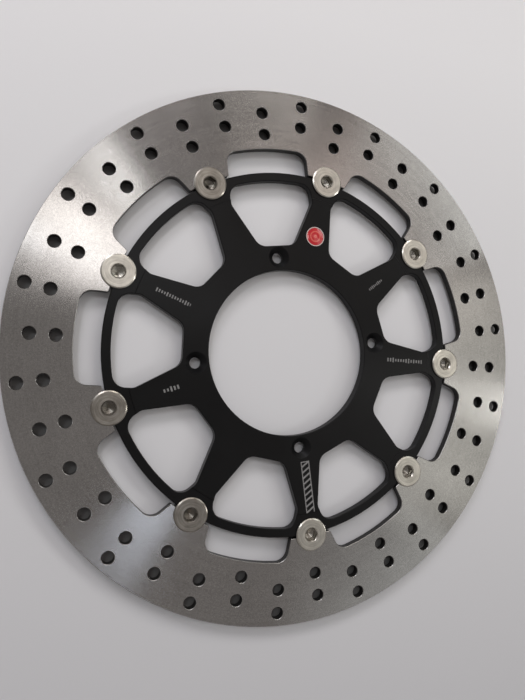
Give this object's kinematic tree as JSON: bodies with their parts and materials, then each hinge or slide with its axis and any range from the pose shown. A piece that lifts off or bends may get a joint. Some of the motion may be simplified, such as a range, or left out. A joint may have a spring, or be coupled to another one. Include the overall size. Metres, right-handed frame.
{
  "type": "brake disc rotor",
  "caption": "Floating motorcycle brake disc: a flat drilled steel blade hung on a black spoked aluminium carrier by sprung hex-socket bobbins.",
  "frame": {"origin": "centre of the hub bore on the carrier's back face, the face that meets the wheel hub", "axes": "+Z along the disc's axis, from the wheel outwards to the face seen in use; +X through one mounting hole and +Y through the next"},
  "size_m": [0.32, 0.32, 0.0088],
  "materials": {
    "ground_steel": "ground stainless with fine circular lay",
    "black_anodised": "satin black anodised",
    "bobbin_steel": "turned, nickel-toned satin",
    "washer_steel": "stamped satin",
    "spring_steel": "oiled spring steel",
    "badge_metal": "polished",
    "red_enamel": "glossy domed enamel"
  },
  "bodies": {
    "carrier": {"carrier": "black_anodised", "badge_rim": "badge_metal", "badge_enamel": "red_enamel"},
    "blade": {"blade": "ground_steel"},
    "bobbin_1": {"drive_bobbin_1": "bobbin_steel", "wave_washer_1": "spring_steel", "flat_washer_1": "washer_steel", "retaining_ring_1": "spring_steel"},
    "bobbin_2": {"drive_bobbin_2": "bobbin_steel", "wave_washer_2": "spring_steel", "flat_washer_2": "washer_steel", "retaining_ring_2": "spring_steel"},
    "bobbin_3": {"drive_bobbin_3": "bobbin_steel", "wave_washer_3": "spring_steel", "flat_washer_3": "washer_steel", "retaining_ring_3": "spring_steel"},
    "bobbin_4": {"drive_bobbin_4": "bobbin_steel", "wave_washer_4": "spring_steel", "flat_washer_4": "washer_steel", "retaining_ring_4": "spring_steel"},
    "bobbin_5": {"drive_bobbin_5": "bobbin_steel", "wave_washer_5": "spring_steel", "flat_washer_5": "washer_steel", "retaining_ring_5": "spring_steel"},
    "bobbin_6": {"drive_bobbin_6": "bobbin_steel", "wave_washer_6": "spring_steel", "flat_washer_6": "washer_steel", "retaining_ring_6": "spring_steel"},
    "bobbin_7": {"drive_bobbin_7": "bobbin_steel", "wave_washer_7": "spring_steel", "flat_washer_7": "washer_steel", "retaining_ring_7": "spring_steel"},
    "bobbin_8": {"drive_bobbin_8": "bobbin_steel", "wave_washer_8": "spring_steel", "flat_washer_8": "washer_steel", "retaining_ring_8": "spring_steel"},
    "bobbin_9": {"drive_bobbin_9": "bobbin_steel", "wave_washer_9": "spring_steel", "flat_washer_9": "washer_steel", "retaining_ring_9": "spring_steel"}
  },
  "joints": [
    {"name": "blade_float", "type": "slide", "parent": "carrier", "child": "blade", "axis": [0, 0, 1], "range_m": [-0.0003, 0], "stiffness_N_per_m": 100000, "springref_m": 0.0003, "deforming": ["wave_washer_1", "wave_washer_2", "wave_washer_3", "wave_washer_4", "wave_washer_5", "wave_washer_6", "wave_washer_7", "wave_washer_8", "wave_washer_9"]},
    {"name": "bobbin_1_spin", "type": "hinge", "parent": "carrier", "child": "bobbin_1", "pos_m": [0.095, 0.05485, 0], "axis": [0, 0, 1], "continuous": true},
    {"name": "bobbin_2_spin", "type": "hinge", "parent": "carrier", "child": "bobbin_2", "pos_m": [0.03752, 0.10308, 0], "axis": [0, 0, 1], "continuous": true},
    {"name": "bobbin_3_spin", "type": "hinge", "parent": "carrier", "child": "bobbin_3", "pos_m": [-0.03752, 0.10308, 0], "axis": [0, 0, 1], "continuous": true},
    {"name": "bobbin_4_spin", "type": "hinge", "parent": "carrier", "child": "bobbin_4", "pos_m": [-0.095, 0.05485, 0], "axis": [0, 0, 1], "continuous": true},
    {"name": "bobbin_5_spin", "type": "hinge", "parent": "carrier", "child": "bobbin_5", "pos_m": [-0.10803, -0.01905, 0], "axis": [0, 0, 1], "continuous": true},
    {"name": "bobbin_6_spin", "type": "hinge", "parent": "carrier", "child": "bobbin_6", "pos_m": [-0.07051, -0.08403, 0], "axis": [0, 0, 1], "continuous": true},
    {"name": "bobbin_7_spin", "type": "hinge", "parent": "carrier", "child": "bobbin_7", "pos_m": [0, -0.1097, 0], "axis": [0, 0, 1], "continuous": true},
    {"name": "bobbin_8_spin", "type": "hinge", "parent": "carrier", "child": "bobbin_8", "pos_m": [0.07051, -0.08403, 0], "axis": [0, 0, 1], "continuous": true},
    {"name": "bobbin_9_spin", "type": "hinge", "parent": "carrier", "child": "bobbin_9", "pos_m": [0.10803, -0.01905, 0], "axis": [0, 0, 1], "continuous": true}
  ]
}
